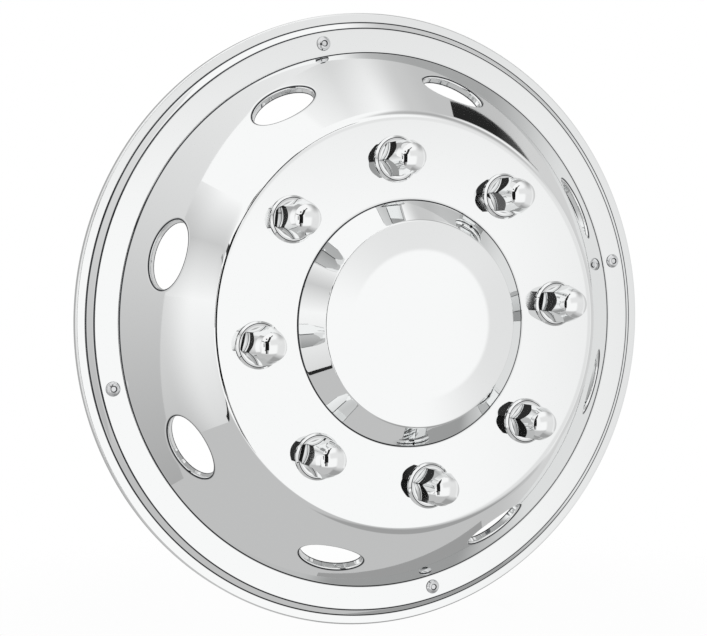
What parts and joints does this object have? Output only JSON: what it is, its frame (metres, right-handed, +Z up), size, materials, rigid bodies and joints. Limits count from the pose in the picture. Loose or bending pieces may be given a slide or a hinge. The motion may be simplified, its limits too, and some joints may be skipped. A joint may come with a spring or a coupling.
{
  "type": "truck wheel simulator",
  "caption": "Dished wheel simulator for a truck: stepped outer lip, oval hand holes with turned-in collars, dummy lug nuts on a flat face and a raised hub dome, held by riveted spring clips.",
  "frame": {"origin": "centre of the rim seat, the circle where the liner's outer edge meets the wheel rim", "axes": "+Y along the wheel axis into the wheel, the show side faces -Y, +Z is up as pictured"},
  "size_m": [0.536, 0.1463, 0.536],
  "materials": {
    "polished_stainless": "mirror polished",
    "bright_chrome": "mirror",
    "rivet_steel": "bright",
    "spring_steel": "satin"
  },
  "bodies": {
    "root": {"wheel_liner": "polished_stainless", "lug_nuts": "bright_chrome", "nut_retainers": "spring_steel", "clip_rivets": "rivet_steel", "rim_clip_1": "spring_steel", "rim_clip_2": "spring_steel", "rim_clip_3": "spring_steel", "rim_clip_4": "spring_steel"}
  },
  "joints": []
}
